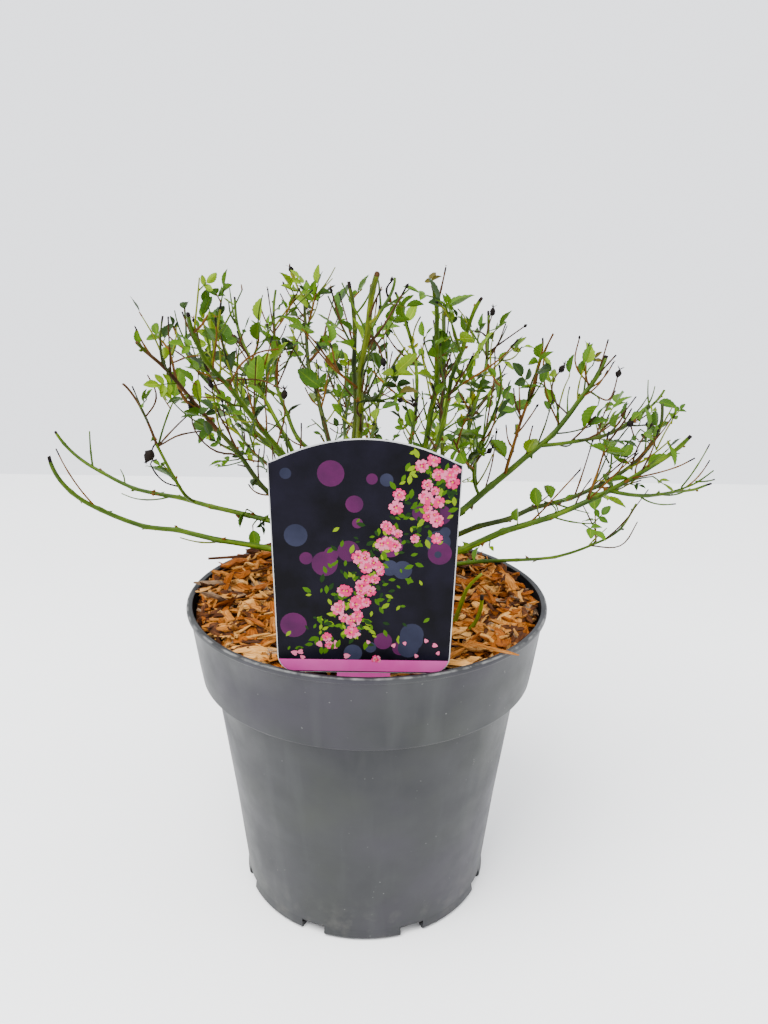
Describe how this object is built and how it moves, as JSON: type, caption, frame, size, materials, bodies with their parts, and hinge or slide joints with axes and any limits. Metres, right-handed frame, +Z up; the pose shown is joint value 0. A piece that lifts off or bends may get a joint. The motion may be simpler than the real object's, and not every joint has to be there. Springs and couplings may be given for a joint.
{
  "type": "potted rose bush",
  "caption": "Small rose bush with a low woody crown, arching green canes and sparse leaves, growing in a round tapered nursery pot with bark mulch and a picture label.",
  "frame": {"origin": "centre of the pot's flat underside", "axes": "+Z up along the pot's axis; the plant label faces -Y; +X is to the right of the label as it is read"},
  "size_m": [0.355, 0.2503, 0.3368],
  "materials": {
    "pot_plastic": "satin",
    "potting_mix": "matte",
    "bark_mulch": "matte",
    "label_card": "gloss",
    "crown_bark": "matte",
    "cane_bark": "satin",
    "foliage": "satin"
  },
  "bodies": {
    "root": {"pot": "pot_plastic", "potting_mix": "potting_mix", "bark_mulch": "bark_mulch", "plant_label": "label_card", "crown": "crown_bark", "low_left": "cane_bark", "long_left": "cane_bark", "upper_left": "cane_bark", "mid_left": "cane_bark", "front_left": "cane_bark", "centre_front": "cane_bark", "back_left": "cane_bark", "centre_back": "cane_bark", "back_right": "cane_bark", "right_high": "cane_bark", "main_right": "cane_bark", "twin_right": "cane_bark", "low_right": "cane_bark", "upright_right": "cane_bark", "back_low_left": "cane_bark", "back_low": "cane_bark", "back_middle": "cane_bark", "inner_left": "cane_bark", "back_left_inner": "cane_bark", "centre": "cane_bark", "arched_right": "cane_bark", "dark_upright": "cane_bark", "front_right": "cane_bark", "low_left_foliage": "foliage", "long_left_foliage": "foliage", "upper_left_foliage": "foliage", "mid_left_foliage": "foliage", "front_left_foliage": "foliage", "centre_front_foliage": "foliage", "back_left_foliage": "foliage", "centre_back_foliage": "foliage", "back_right_foliage": "foliage", "right_high_foliage": "foliage", "main_right_foliage": "foliage", "twin_right_foliage": "foliage", "low_right_foliage": "foliage", "upright_right_foliage": "foliage", "back_low_left_foliage": "foliage", "back_low_foliage": "foliage", "back_middle_foliage": "foliage", "inner_left_foliage": "foliage", "back_left_inner_foliage": "foliage", "centre_foliage": "foliage", "arched_right_foliage": "foliage", "dark_upright_foliage": "foliage", "front_right_foliage": "foliage", "left_fork_foliage": "foliage", "upper_left_fork_foliage": "foliage", "centre_fork_foliage": "foliage", "right_high_fork_foliage": "foliage", "right_upright_foliage": "foliage", "right_inner_fork_foliage": "foliage", "main_right_fork_foliage": "foliage"}
  },
  "joints": []
}
